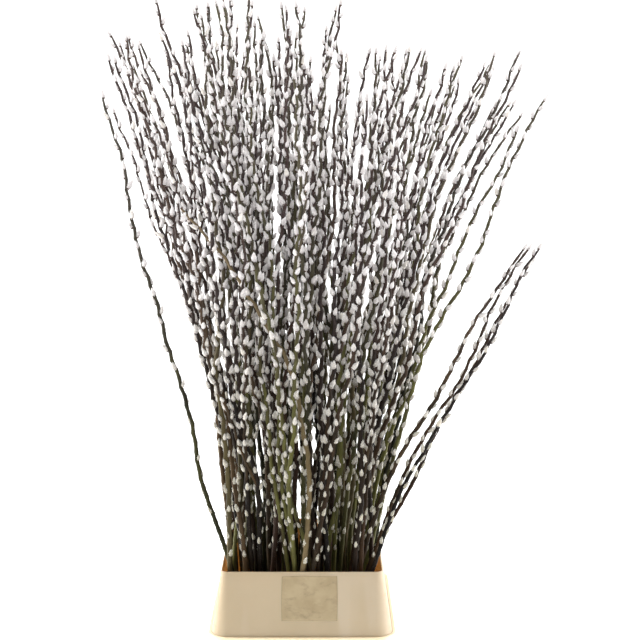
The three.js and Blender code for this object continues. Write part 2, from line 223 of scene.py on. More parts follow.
# How catkins are set: a direction that fixes their turn about their own axis, the range of their sizes,
# how far in degrees their lean varies, and the share that is missing low down and high up.
SPIN_REFERENCE = (0.31, 0.95, 0.05)
CATKIN_SIZES = (0.84, 1.16)
LEAN_DRAW = 9
MISSING = {"low": 0.3, "high": 0.05, "up_to": (RIM_HEIGHT, 560)}
STRAY_BARE_TO = 720

# A branch's row starts this many catkins early, and the shift keeps their keys above zero.
CATKINS_BELOW_FIRST = 1
ORDER_SHIFT = 90

# The last catkin closes the tip, pointing along the strand's end.
TIP_CATKIN = {"sink": 10, "below": 30, "half": 0.78, "length": 1.05}

# Catkins near the rim are young: small, slim and close to the stem.
YOUNG_UP_TO = (RIM_HEIGHT, 720)
YOUNG = {"shorter": 0.18, "narrower": 0.3, "closer": 0.4}

# Towards the tip of a branch they are slimmer again.
SLIM_OVER = 260
SLIM = {"shorter": 0.12, "narrower": 0.3}


def draw(*keys):
    """A repeatable draw between 0 and 1 for any whole-number keys."""
    h = SEED
    for key in keys:
        h = ((h ^ key) * HASH_STEP) & WORD
        h ^= h >> 15
    h = ((h ^ (h >> 13)) * HASH_END) & WORD
    return (h ^ (h >> 16)) / (WORD + 1)


def lerp(a, b, share):
    return a + (b - a) * share


def spread(i, start):
    return (start + i * GOLDEN_STEP) % 1


def between(a, b, share):
    return {key: lerp(a[key], b[key], share) for key in ("width", "depth", "corner")}


def bucket_at(z):
    return between(BUCKET_FOOT, BUCKET_TOP, z / BUCKET_HEIGHT)


def collar_at(z):
    return between(COLLAR_FOOT, COLLAR_TOP, (z - COLLAR_BASE) / (RIM_HEIGHT - COLLAR_BASE))


class Strand:
    """One branch or twig: its centre at each level and the height of its tip."""

    def __init__(self, sheaf, node, key, tip_height, butt_radius, x, y, start=0, parent=None):
        self.sheaf = sheaf
        self.node = node
        self.key = key
        self.tip_height = tip_height
        self.butt_radius = butt_radius
        self.x = x
        self.y = y
        self.start = start
        self.parent = parent

    def radius(self, z):
        share = max(self.tip_height - z, 0) / (self.tip_height - BUTT_HEIGHT)
        full = TIP_RADIUS + (self.butt_radius - TIP_RADIUS) * share**TAPER_POWER
        return max(full * TWIG["radius"], TIP_RADIUS) if self.parent else full


def route(butt, rim, top, z, keys):
    """A parabola through the butt, the rim and the top, with a little wander above the rim."""
    share = (z - LEVELS[0]) / (LEVELS[-1] - LEVELS[0])
    rim_share = (RIM_HEIGHT - LEVELS[0]) / (LEVELS[-1] - LEVELS[0])
    loose = WANDER if z > RIM_HEIGHT else 0
    point = []
    for axis in (0, 1):
        bend = ((rim[axis] - butt[axis]) / rim_share - (top[axis] - butt[axis])) / (rim_share - 1)
        straight = butt[axis] + (top[axis] - butt[axis] - bend) * share
        point.append(straight + bend * share * share + (draw(*keys, WANDERING + axis) - 0.5) * 2 * loose)
    return point


def branches():
    strands = []
    dip = (RIM_HEIGHT - BUTT_HEIGHT) / (LEVELS[-1] - RIM_HEIGHT)
    for s, kind in enumerate(SHEAVES):
        for b in range(kind["clumps"] * kind["each"]):
            c = b // kind["each"]
            apart = (b % kind["each"] - (kind["each"] - 1) / 2) * CLUMP["spread"]
            around = draw(s, c, AROUND) * math.pi
            rim = (
                lerp(*kind["rim"], (c + 0.5) / kind["clumps"]) + apart * math.cos(around),
                lerp(*kind["depth"], spread(c, draw(s, DEPTHS_START))) + apart * math.sin(around),
            )
            top = (
                lerp(*kind["tip"], spread(b, draw(s, TIPS_START))),
                rim[1] * DEPTH_SPREAD["growth"] + (draw(s, b, TOP_DEPTH) - 0.5) * DEPTH_SPREAD["draw"],
            )
            back = kind["slant"] * dip
            butt = (lerp(rim[0], top[0], -back), lerp(rim[1], top[1], -back))
            points = [route(butt, rim, top, z, (s, b, k)) for k, z in enumerate(LEVELS)]
            strands.append(
                Strand(
                    sheaf=s,
                    node=f"{kind['name']}_branches_{c + 1:02d}",
                    key=len(strands),
                    tip_height=kind["highest"] - kind["shortfall"] * draw(s, b, SHORTFALL) ** 2,
                    butt_radius=BUTT_RADIUS["least"] + BUTT_RADIUS["range"] * draw(s, b, THICKNESS),
                    x=[p[0] for p in points],
                    y=[p[1] for p in points],
                )
            )
    return strands


def twig_of(branch):
    start = TWIG["forks"][int(draw(branch.key, FORK) * len(TWIG["forks"]))]
    around = draw(branch.key, TWIG_AROUND) * 2 * math.pi
    rises = [max(z - LEVELS[start], 0) for z in LEVELS]
    away = [TWIG["slope"] * (rise - rise * rise / TWIG["bend_over"]) for rise in rises]
    return Strand(
        sheaf=branch.sheaf,
        node=branch.node,
        key=branch.key + TWIG["key_step"],
        tip_height=branch.tip_height - lerp(*TWIG["shorter"], draw(branch.key, TWIG_SHORTER)),
        butt_radius=branch.butt_radius,
        x=[x + a * math.cos(around) for x, a in zip(branch.x, away)],
        y=[y + a * math.sin(around) for y, a in zip(branch.y, away)],
        start=start,
        parent=branch,
    )


def lay_out():
    strands = branches()
    for branch in list(strands):
        full = SHEAVES[branch.sheaf]["clumps"] >= TWIG["fewest_clumps"]
        if full and draw(branch.key, HAS_TWIG) < TWIG["share"]:
            strands.append(twig_of(branch))
    for strand in strands:
        strand.home_x = list(strand.x)
        strand.home_y = list(strand.y)
    keep_apart(strands)
    return strands


def keep_apart(strands):
    """Pushes the strands of different nodes apart, and keeps them inside the holder up to its rim."""
    neighbours = [
        (a, b)
        for i, a in enumerate(strands)
        for b in strands[i + 1 :]
        if a.node != b.node and pass_near(a, b)
    ]
    for turn in range(RELAX_ROUNDS):
        for a, b in neighbours:
            push_apart(a, b)
        for strand in strands:
            if turn < SMOOTH_ROUNDS:
                smoothen(strand)
            hold(strand)
        join_butts(strands)


def pass_near(a, b):
    return any(
        abs(a.x[k] - b.x[k]) < NEIGHBOUR_REACH and abs(a.y[k] - b.y[k]) < NEIGHBOUR_REACH
        for k in range(len(LEVELS))
    )


def clearance_at(z):
    share = (z - RIM_HEIGHT) / (CLEARANCE["high_from"] - RIM_HEIGHT)
    return lerp(CLEARANCE["low"], CLEARANCE["high"], min(max(share, 0), 1))


WIDEST_MARGIN = 2 * (BUTT_RADIUS["least"] + BUTT_RADIUS["range"]) + CLEARANCE["high"]


def push_apart(a, b):
    ax, ay, bx, by = a.x, a.y, b.x, b.y
    for k in range(max(a.start, b.start), len(LEVELS) - 1):
        start_x = bx[k] - ax[k]
        start_y = by[k] - ay[k]
        change_x = bx[k + 1] - ax[k + 1] - start_x
        change_y = by[k + 1] - ay[k + 1] - start_y
        change = change_x * change_x + change_y * change_y + NEGLIGIBLE
        share = min(max(-(start_x * change_x + start_y * change_y) / change, 0), 1)
        gap_x = start_x + share * change_x
        gap_y = start_y + share * change_y
        if abs(gap_x) > WIDEST_MARGIN or abs(gap_y) > WIDEST_MARGIN:
            continue
        gap = math.sqrt(gap_x * gap_x + gap_y * gap_y) + NEGLIGIBLE
        z = lerp(LEVELS[k], LEVELS[k + 1], share)
        short = a.radius(z) + b.radius(z) + clearance_at(z) - gap
        if short <= 0:
            continue
        lower = 1 - share
        push = 0.5 * short / (lower * lower + share * share) / gap
        for strand, sign in ((a, -1), (b, 1)):
            if k > strand.start or strand.start == 0:
                strand.x[k] += sign * push * lower * gap_x
                strand.y[k] += sign * push * lower * gap_y
            strand.x[k + 1] += sign * push * share * gap_x
            strand.y[k + 1] += sign * push * share * gap_y


def smoothen(strand):
    """Shares a push with the levels above and below, so that a branch bends away gently."""
    for place, home in ((strand.x, strand.home_x), (strand.y, strand.home_y)):
        shift = [p - h for p, h in zip(place, home)]
        for k in range(max(strand.start, RIM_LEVEL) + 1, len(LEVELS) - 1):
            share = (LEVELS[k] - LEVELS[k - 1]) / (LEVELS[k + 1] - LEVELS[k - 1])
            place[k] += SMOOTHING * (lerp(shift[k - 1], shift[k + 1], share) - shift[k])


def hold(strand):
    if strand.parent:
        strand.x[strand.start] = strand.parent.x[strand.start]
        strand.y[strand.start] = strand.parent.y[strand.start]
        return
    for k in range(RIM_LEVEL + 1):
        size = collar_at(LEVELS[k]) if LEVELS[k] > COLLAR_BASE else bucket_at(LEVELS[k])
        margin = CLEARANCE["wall_in_bucket"] if k < RIM_LEVEL else CLEARANCE["wall"]
        room = COLLAR_WALL + strand.butt_radius + margin
        limit_x = size["width"] / 2 - room
        limit_y = size["depth"] / 2 - room
        strand.x[k] = min(max(strand.x[k], -limit_x), limit_x)
        strand.y[k] = min(max(strand.y[k], -limit_y), limit_y)


def by_node(strands):
    found = {}
    for strand in strands:
        found.setdefault(strand.node, []).append(strand)
    return found


def join_butts(strands):
    """The branches of a clump stand in a row on their cut ends, grown into each other."""
    for clumped in by_node(strands).values():
        row = [strand for strand in clumped if not strand.parent]
        row.sort(key=lambda strand: strand.x[RIM_LEVEL])
        middle_x = sum(strand.x[0] for strand in row) / len(row)
        middle_y = sum(strand.y[0] for strand in row) / len(row)
        flat = math.cos(math.pi / BRANCH_SIDES)
        reaches = [strand.butt_radius * flat - CLUMP["overlap"] / 2 for strand in row]
        x = middle_x - sum(reaches)
        for strand, reach in zip(row, reaches):
            strand.x[0] = x + reach
            strand.y[0] = middle_y
            x += 2 * reach


def sway(strand, z):
    """How far a strand sways off its course at the heights z. A twig takes over from its branch."""
    offsets = np.zeros((len(z), 2))
    for wave, (reach, length, sets_in) in enumerate(SWAY):
        grown = reach * np.interp(z, sets_in, (0, 1))
        for axis in (0, 1):
            phase = 2 * math.pi * draw(strand.key, wave, axis, SWAY_PHASE)
            stretch = lerp(*SWAY_STRETCH, draw(strand.key, wave, axis, SWAY_LENGTH))
            offsets[:, axis] += grown * np.sin(phase + 2 * math.pi * z / (length * stretch))
    if not strand.parent:
        return offsets
    fork = LEVELS[strand.start]
    own = np.interp(z, (fork, fork + FORK_BLEND), (0, 1))[:, None]
    return own * offsets + (1 - own) * sway(strand.parent, z)


def centre_line(strand, z):
    """The smooth centre line of a strand at the heights z, as an array of points."""
    levels = np.array(LEVELS[strand.start :], float)
    k = np.clip(np.searchsorted(levels, z, side="right") - 1, 0, len(levels) - 2)
    h = levels[k + 1] - levels[k]
    t = np.clip((z - levels[k]) / h, RUN_ON_BELOW, 1)
    t2, t3 = t * t, t * t * t
    columns = []
    for values in (strand.x, strand.y):
        v = np.array(values[strand.start :], float)
        slope = np.gradient(v, levels)
        columns.append(
            (2 * t3 - 3 * t2 + 1) * v[k]
            + (t3 - 2 * t2 + t) * h * slope[k]
            + (3 * t2 - 2 * t3) * v[k + 1]
            + (t3 - t2) * h * slope[k + 1]
        )
    return np.column_stack([np.stack(columns, axis=1) + sway(strand, z), z])


def catkin_orders(strand):
    """The places of a strand's catkins in its row: heights, turns round the stem, and the tip's last."""
    bare = LEVELS[strand.start] + TWIG["bare_for"] if strand.parent else CATKIN["first"]
    start = bare + CATKIN["pitch"] * draw(strand.key, FIRST_HEIGHT)
    last = int((strand.tip_height - CATKIN["tip_margin"] - start) // CATKIN["pitch"])
    orders = np.arange(0 if strand.parent else -CATKINS_BELOW_FIRST, last + 1)
    heights = start + orders * CATKIN["pitch"]
    turns = np.radians(orders * CATKIN["turn"] + 360 * draw(strand.key, FIRST_TURN))
    return orders, heights.astype(float), turns


def outward(turns):
    return np.stack([np.cos(turns), np.sin(turns), np.zeros(len(turns))], axis=1)


def unit(vectors):
    return vectors / np.linalg.norm(vectors, axis=1, keepdims=True)


def wood(strand):
    """A strand's bark: points and triangles."""
    _, heights, turns = catkin_orders(strand)
    tip = strand.tip_height
    low = LEVELS[strand.start] - FORK_SINK if strand.parent else BUTT_HEIGHT
    first, last = (heights[0], heights[-1]) if len(heights) else (tip - BARE_TIP, tip - BARE_TIP)
    bare = np.linspace(low, first, max(int((first - low) / BARE_STEP), 2), endpoint=False)
    middle = (heights[:-1] + heights[1:]) / 2
    z = np.sort(np.concatenate([bare, heights, middle, [(last + tip) / 2, tip - TIP_CLOSING["over"], tip]]))
    centre = centre_line(strand, z)
    radius = np.array([strand.radius(height) for height in z])
    if len(heights):
        kinks = [np.interp(z, heights, -ZIGZAG * column) for column in outward(turns).T[:2]]
        centre[:, :2] += np.stack(kinks, axis=1) * np.interp(z, KINKED_FROM, (0, 1))[:, None]
        near = np.abs(z[:, None] - heights[None, :]).min(axis=1)
        radius *= 1 + NODE_SWELL * np.exp(-((near / NODE_REACH) ** 2))
    radius[-2:] *= TIP_CLOSING["shares"]
    along = unit(np.gradient(centre, z, axis=0))
    if strand.parent:
        radius[0] *= ROOT_SHRINK
    else:
        along[0] = (0, 0, 1)
    side = unit(np.array([1.0, 0, 0]) - along[:, :1] * along)
    back = np.cross(along, side)
    angle = np.arange(WOOD_SIDES) * 2 * math.pi / WOOD_SIDES
    ring = side[:, None, :] * np.cos(angle)[None, :, None] + back[:, None, :] * np.sin(angle)[None, :, None]
    points = (centre[:, None, :] + ring * radius[:, None, None]).reshape(-1, 3)
    return points, tube_triangles(len(z), WOOD_SIDES)


def tube_triangles(rings, sides):
    """Triangles of a closed tube: its bands and its two flat ends."""
    r, i = np.meshgrid(np.arange(rings - 1), np.arange(sides), indexing="ij")
    j = (i + 1) % sides
    low_i, low_j = r * sides + i, r * sides + j
    high_i, high_j = low_i + sides, low_j + sides
    bands = np.stack([low_i, low_j, high_j, low_i, high_j, high_i], axis=-1).reshape(-1, 3)
    fan = np.arange(1, sides - 1)
    first = np.stack([np.zeros_like(fan), fan + 1, fan], axis=1)
    last = (rings - 1) * sides + np.stack([np.zeros_like(fan), fan, fan + 1], axis=1)
    return np.concatenate([bands, first, last])


def catkin_template():
    """One catkin along +Z, of length 1 and half width 1: points, triangles, fur share and rim share (the
    tufts).
    """
    rings = len(CATKIN_PROFILE)
    points, fur = [], []
    for r, (height, half) in enumerate(CATKIN_PROFILE):
        for i in range(CATKIN_SIDES):
            angle = 2 * math.pi * (i + 0.5 * (r % 2)) / CATKIN_SIDES
            points.append((half * math.cos(angle), half * math.sin(angle), height))
            fur.append(0.0 if r < SCALE_RINGS else 1.0)
    points.append((0, 0, 1))
    fur.append(1.0)
    top = (rings - 1) * CATKIN_SIDES
    bands = tube_triangles(rings, CATKIN_SIDES)[: -(CATKIN_SIDES - 2)]
    tip = [[top + i, top + (i + 1) % CATKIN_SIDES, len(points) - 1] for i in range(CATKIN_SIDES)]
    tuft_points, tuft_triangles = tufts(len(points))
    # The tufts' points get rim share 1, and the fur paints them near-white as a painted rim highlight.
    rim = [0.0] * len(points) + [1.0] * len(tuft_points)
    fur += [1.0] * len(tuft_points)
    triangles = np.concatenate([bands, np.array(tip), np.array(tuft_triangles)])
    return np.array(points + tuft_points, float), triangles, np.array(fur), np.array(rim)


def tufts(first):
    """Slim three-sided tufts that stand off a catkin towards its tip."""
    points, triangles = [], []
    for n in range(TUFTS):
        height = TUFT["lowest"] + TUFT["range"] * (n + 0.5) / TUFTS
        half = float(np.interp(height, *zip(*CATKIN_PROFILE)))
        angle = n * math.radians(CATKIN["turn"])
        for corner in range(3):
            turn = angle + TUFT["spread"] * math.cos(corner * 2 * math.pi / 3)
            lift = height + TUFT["root"] * math.sin(corner * 2 * math.pi / 3)
            depth = TUFT["sink"] * half
            points.append((depth * math.cos(turn), depth * math.sin(turn), lift))
        reach = half + TUFT["stand_off"]
        points.append((reach * math.cos(angle), reach * math.sin(angle), height + TUFT["rise"]))
        base = first + 4 * n
        triangles += [[base + c, base + (c + 1) % 3, base + 3] for c in range(3)]
        triangles.append([base + 2, base + 1, base])
    return points, triangles


CATKIN_SHAPE = catkin_template()


def catkins(strand):
    """A strand's catkins: points and triangles, and for each point its fur, rim, along and tone values."""
    orders, heights, turns = catkin_orders(strand)
    draws = [(strand.key, int(order) + ORDER_SHIFT) for order in orders]
    missing = np.interp(heights, MISSING["up_to"], (MISSING["low"], MISSING["high"]))
    kept = np.array([draw(*pair, KEPT) for pair in draws]) > missing
    if SHEAVES[strand.sheaf]["name"] == "stray_left":
        kept &= (heights > STRAY_BARE_TO) | (orders % 2 == 0)
    young = np.interp(heights, YOUNG_UP_TO, (1, 0))
    size = np.array([lerp(*CATKIN_SIZES, draw(*pair, CATKIN_SIZE)) for pair in draws])
    lean = CATKIN["lean"] + np.array([LEAN_DRAW * (draw(*pair, LEANING) * 2 - 1) for pair in draws])
    lean = np.radians(lean * (1 - YOUNG["closer"] * young))
    base = centre_line(strand, heights)
    along = unit(centre_line(strand, heights + CATKIN["slope_over"]) - base)
    away = outward(turns)
    away = unit(away - (away * along).sum(axis=1, keepdims=True) * along)
    axis = along * np.cos(lean)[:, None] + away * np.sin(lean)[:, None]
    radius = np.array([strand.radius(height) for height in heights])
    root = base + away * (radius * CATKIN["sink"])[:, None]
    tip_root = centre_line(strand, np.array([strand.tip_height - TIP_CATKIN["sink"]]))
    tip_axis = unit(tip_root - centre_line(strand, np.array([strand.tip_height - TIP_CATKIN["below"]])))
    axis = np.concatenate([axis[kept], tip_axis])
    root = np.concatenate([root[kept], tip_root])
    slim = np.interp(strand.tip_height - heights, (0, SLIM_OVER), (1, 0))
    width = size * (1 - YOUNG["narrower"] * young) * (1 - SLIM["narrower"] * slim)
    length = size * (1 - YOUNG["shorter"] * young) * (1 - SLIM["shorter"] * slim)
    half = np.append(width[kept], TIP_CATKIN["half"]) * CATKIN["width"] / 2
    length = np.append(length[kept], TIP_CATKIN["length"]) * CATKIN["length"]
    side = unit(np.cross(axis, np.array([SPIN_REFERENCE])))
    third = np.cross(axis, side)
    shape, shape_triangles, fur, rim = CATKIN_SHAPE
    tx, ty, tz = shape.T
    points = (
        root[:, None, :]
        + side[:, None, :] * (half[:, None] * tx)[:, :, None]
        + third[:, None, :] * (half[:, None] * ty)[:, :, None]
        + axis[:, None, :] * (length[:, None] * tz)[:, :, None]
    )
    count, step = len(root), len(shape)
    triangles = shape_triangles[None] + (np.arange(count) * step)[:, None, None]
    tones = np.array([draw(strand.key, n, FUR_TONE) for n in range(count)])
    return (
        points.reshape(-1, 3),
        triangles.reshape(-1, 3),
        np.tile(fur, count),
        np.tile(rim, count),
        np.tile(np.clip(tz, 0, 1), count),
        np.repeat(tones, step),
    )


def gathered(parts):
    """Joins meshes given as (points, triangles, *values) into one."""
    first, triangles = 0, []
    for part in parts:
        triangles.append(part[1] + first)
        first += len(part[0])
    values = [np.concatenate(column) for column in list(zip(*parts))[2:]]
    return np.concatenate([part[0] for part in parts]), np.concatenate(triangles), *values


def make_piece(name, points, triangles, material, attributes=None, sharp_from=None):
    """A mesh object in metres, with its material and named point values."""
    mesh = bpy.data.meshes.new(name)
    mesh.from_pydata(np.asarray(points) * MM, [], np.asarray(triangles))
    mesh.validate()
    for key, values in (attributes or {}).items():
        mesh.attributes.new(key, "FLOAT", "POINT").data.foreach_set("value", np.asarray(values, np.float32))
    mesh.shade_smooth()
    if sharp_from:
        mesh.set_sharp_from_angle(angle=math.radians(sharp_from))
    mesh.materials.append(material)
    piece = bpy.data.objects.new(name, mesh)
    bpy.context.scene.collection.objects.link(piece)
    return piece


def place(piece, slot, node):
    """Gives a piece its body and lets it stand for a CAD node, whose part it hides; the slot is not used.
    """
    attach(piece, "root")
    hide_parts(node)


class Graph:
    """A material's node tree, built by short calls."""

    def __init__(self, name):
        self.material = bpy.data.materials.new(name)
        self.material.use_nodes = True
        self.tree = self.material.node_tree
        self.tree.nodes.clear()
        self.output = self.tree.nodes.new("ShaderNodeOutputMaterial")

    def add(self, kind, inputs=None, **settings):
        node = self.tree.nodes.new("ShaderNode" + kind)
        for key, value in settings.items():
            setattr(node, key, value)
        for key, value in (inputs or {}).items():
            self.put(node.inputs[key], value)
        return node

    def put(self, socket, value):
        """Links another node's output to a socket, or sets the socket's value."""
        if isinstance(value, bpy.types.NodeSocket):
            self.tree.links.new(value, socket)
        else:
            socket.default_value = value

    def mix(self, share, a, b):
        """Colour a, with this share of colour b."""
        node = self.add("Mix", data_type="RGBA")
        self.put(node.inputs[0], share)
        self.put(node.inputs[6], a)
        self.put(node.inputs[7], b)
        return node.outputs[2]

    def ramp(self, value, *stops):
        node = self.add("ValToRGB", {"Fac": value})
        elements = node.color_ramp.elements
        while len(elements) < len(stops):
            elements.new(1)
        for element, (position, colour) in zip(elements, stops):
            element.position = position
            element.color = colour
        return node.outputs["Color"]

    def range(self, value, low, high, to_low=0.0, to_high=1.0):
        """Spreads the values from low to high evenly over to_low to to_high."""
        node = self.add("MapRange", {"Value": value, "From Min": low, "From Max": high})
        node.inputs["To Min"].default_value = to_low
        node.inputs["To Max"].default_value = to_high
        return node.outputs["Result"]

    def maths(self, operation, a, b):
        node = self.add("Math", operation=operation)
        self.put(node.inputs[0], a)
        self.put(node.inputs[1], b)
        return node.outputs[0]

    def value(self, name):
        """A value that the mesh carries at each point."""
        return self.add("Attribute", attribute_name=name).outputs["Fac"]

    def place(self, heights=1):
        """The object's own coordinates, with its heights scaled to stretch or squeeze a pattern upright."""
        where = self.add("TexCoord").outputs["Object"]
        return self.add("Mapping", {"Vector": where, "Scale": (1, 1, heights)}).outputs["Vector"]

    def height(self):
        """The height above the floor, in metres."""
        return self.add("SeparateXYZ", {"Vector": self.place()}).outputs["Z"]

    def noise(self, where, scale, detail=3.0, roughness=0.55):
        inputs = {"Vector": where, "Scale": scale, "Detail": detail, "Roughness": roughness}
        return self.add("TexNoise", inputs).outputs["Fac"]

    def bump(self, height, distance, strength=1.0):
        inputs = {"Height": height, "Distance": distance, "Strength": strength}
        return self.add("Bump", inputs).outputs["Normal"]

    def finish(self, inputs):
        shader = self.add("BsdfPrincipled", inputs)
        self.tree.links.new(shader.outputs["BSDF"], self.output.inputs["Surface"])
        return self.material


def linear(value):
    """The light that a display value from 0 to 255 stands for, by the sRGB curve."""
    share = value / 255
    return ((share + 0.055) / 1.055) ** 2.4 if share > 0.04045 else share / 12.92


def rgb(red, green, blue):
    """A colour given in display values."""
    return (linear(red), linear(green), linear(blue), 1.0)


# Bark: how far blotches shift a strand's shade, its roughness, the heights in metres over which young
# wood (its colour partly painted glare) and a pale painted glare set in with the most they cover, and
# the pale dots.
MOTTLE = 0.16
BARK_ROUGHNESS = (0.5, 0.68)
YOUNG_WOOD_AND_GLARE = {"over": (0.6, 1.0), "cover": 0.6}
PAINTED_GLARE = {"over": (0.5, 1.1), "cover": 0.45}
DOTS = {"scale": 420, "edge": (0.1, 0.22), "cover": 0.25, "raised_edge": (0.05, 0.2), "raised": 0.6}


def bark_material(name, shades, young_and_glare_shade, dot_and_glare_shade):
    """Smooth bark: a shade for each strand, with paler dots; high up, young wood colour mixed with painted
    glare.
    """
    g = Graph(name)
    blotch = g.noise(g.place(heights=0.2), scale=46)
    grain = g.noise(g.place(heights=0.18), scale=900, detail=4)
    height = g.height()
    mottled = g.maths("ADD", g.value("tone"), g.range(blotch, 0.3, 0.7, -MOTTLE, MOTTLE))
    colour = g.ramp(mottled, *[(n / (len(shades) - 1), rgb(*shade)) for n, shade in enumerate(shades)])
    # Young wood high up: partly the colour of young twigs, partly painted glare from the bright backdrop.
    young = g.range(height, *YOUNG_WOOD_AND_GLARE["over"], 0, YOUNG_WOOD_AND_GLARE["cover"])
    colour = g.mix(young, colour, rgb(*young_and_glare_shade))
    # Painted glare: a pale shade over the grain high up, standing in for glare from the bright backdrop.
    painted_glare = g.range(height, *PAINTED_GLARE["over"], 0, PAINTED_GLARE["cover"])
    colour = g.mix(g.maths("MULTIPLY", painted_glare, g.range(grain, 0.4, 0.7)), colour, rgb(*dot_and_glare_shade))
    cells = g.add("TexVoronoi", {"Vector": g.place(heights=0.6), "Scale": DOTS["scale"]})
    dots = cells.outputs["Distance"]
    colour = g.mix(g.range(dots, *DOTS["edge"], DOTS["cover"], 0), colour, rgb(*dot_and_glare_shade))
    raised = g.range(dots, *DOTS["raised_edge"], DOTS["raised"], 0)
    normal = g.bump(g.maths("ADD", grain, raised), distance=0.0006, strength=0.6)
    roughness = g.range(blotch, 0.3, 0.7, *BARK_ROUGHNESS)
    inputs = {"Base Color": colour, "Roughness": roughness, "Specular IOR Level": 0.1, "Normal": normal}
    return g.finish(inputs)


# Fur: each shade where the silk is dull and where it shines, then the single shades.
FUR_SHADES = {
    "grey": ((112, 103, 101), (168, 159, 156)),
    "white": ((222, 216, 215), (254, 252, 252)),
    "beige": ((118, 113, 90), (206, 201, 176)),
    "scale": ((40, 27, 24), (92, 66, 50)),
}
CREAM_FUR = (208, 196, 168)
# The tufts' colour: a painted highlight standing in for the bright rim of backlit fur.
PAINTED_RIM_HIGHLIGHT = (254, 253, 252)

# Where fur turns white along a catkin, a painted highlight for the bright ends of backlit fur, how much
# whiter a catkin is by its tone and by its height in metres, the heights over which it stops being beige,
# and the tones that are creamy.
PAINTED_HIGHLIGHT_ALONG = (0.2, 0.9)
WHITE_BY_TONE = 0.5
WHITE_HIGH = {"over": (0.45, 1.0), "cover": 0.45}
BEIGE_LOW = {"over": (0.4, 0.85), "cover": 0.8}
CREAMY = {"tones": (0.88, 1.0), "cover": 0.3}
SCALE_EDGE = (0.35, 0.75)


def fur_material():
    """Grey silver fur over a brown bud scale, with a painted rim highlight: white ends and white tufts."""
    g = Graph("catkin_fur")
    along = g.value("along")
    tone = g.value("tone")
    height = g.height()
    silk = g.range(g.noise(g.place(heights=0.5), scale=1300), 0.35, 0.7)
    shade = {key: g.mix(silk, rgb(*dull), rgb(*shine)) for key, (dull, shine) in FUR_SHADES.items()}
    white = shade["white"]
    # Painted highlight: fur whitens towards a catkin's end, standing in for the bright rim of backlit fur.
    body = g.mix(g.range(along, *PAINTED_HIGHLIGHT_ALONG), shade["grey"], white)
    body = g.mix(g.range(tone, 0, 1, 0, WHITE_BY_TONE), body, white)
    body = g.mix(g.range(height, *WHITE_HIGH["over"], 0, WHITE_HIGH["cover"]), body, white)
    body = g.mix(g.range(height, *BEIGE_LOW["over"], BEIGE_LOW["cover"], 0), body, shade["beige"])
    body = g.mix(g.range(tone, *CREAMY["tones"], 0, CREAMY["cover"]), body, rgb(*CREAM_FUR))
    # Painted highlight: the tufts, marked by the rim share, turn near-white.
    body = g.mix(g.value("rim"), body, rgb(*PAINTED_RIM_HIGHLIGHT))
    colour = g.mix(g.range(g.value("fur"), *SCALE_EDGE), shade["scale"], body)
    return g.finish(
        {
            "Base Color": colour,
            "Roughness": 0.85,
            "Sheen Weight": 1.0,
            "Sheen Roughness": 0.3,
            "Subsurface Weight": 0.5,
            "Subsurface Scale": 1.0,
            "Subsurface Radius": (0.003, 0.003, 0.003),
            "Specular IOR Level": 0.2,
            "Normal": g.bump(silk, distance=0.0005, strength=0.7),
        }
    )


# Plastics: warm is what shows where light comes through, foot the darker colour low down. The glints are
# faint upright streaks, and the darkening fades out over these heights in metres.
COLLAR_FINISH = {
    "colour": (199, 184, 155),
    "worn": (192, 177, 147),
    "warm": (222, 178, 116),
    "foot": (192, 177, 147),
    "roughness": (0.36, 0.54),
    "translucency": 0.32,
}
BUCKET_FINISH = {
    "colour": (250, 236, 204),
    "worn": (244, 228, 194),
    "warm": (240, 204, 146),
    "foot": (166, 147, 113),
    "roughness": (0.39, 0.57),
    "translucency": 0.2,
}
GLINT = {"shade": (255, 250, 240), "cover": 0.1}
SCUFF_COVER = 0.35
DARKER_UP_TO = (0.1, 0.186)


def plastic_material(name, finish):
    """Matt plastic with faint scuffs, duller at its foot."""
    colour, worn, warm, foot = (rgb(*finish[key]) for key in ("colour", "worn", "warm", "foot"))
    g = Graph(name)
    cloud = g.noise(g.place(), scale=9)
    scuff = g.noise(g.place(heights=5), scale=46, detail=5, roughness=0.7)
    band = g.noise(g.place(heights=0.02), scale=16, detail=2)
    fine = g.noise(g.place(), scale=900, detail=2)
    base = g.mix(g.range(cloud, 0.35, 0.65), colour, worn)
    base = g.mix(g.range(band, 0.55, 0.62, 0, GLINT["cover"]), base, rgb(*GLINT["shade"]))
    base = g.mix(g.range(scuff, 0.62, 0.74, 0, SCUFF_COVER), base, warm)
    # Darker towards the bottom, up to these heights.
    base = g.mix(g.range(g.height(), *DARKER_UP_TO, 1, 0), base, foot)
    inputs = {
        "Base Color": base,
        "Roughness": g.range(scuff, 0.4, 0.7, *finish["roughness"]),
        "Specular IOR Level": 0.3,
        "Normal": g.bump(g.maths("ADD", fine, scuff), distance=0.0002, strength=0.3),
    }
    shader = g.add("BsdfPrincipled", inputs).outputs["BSDF"]
    through = g.add("BsdfTranslucent", {"Color": warm}).outputs["BSDF"]
    both = g.add("MixShader")
    both.inputs[0].default_value = finish["translucency"]
    g.tree.links.new(shader, both.inputs[1])
    g.tree.links.new(through, both.inputs[2])
    g.tree.links.new(both.outputs[0], g.output.inputs["Surface"])
    return g.material


LABEL_SHADES = {
    "paper": (146, 129, 97),
    "paler": (162, 145, 113),
    "stain": (116, 101, 74),
    "rubbed": (176, 161, 129),
}
STAIN_COVER = 0.55
RUBBED_COVER = 0.4


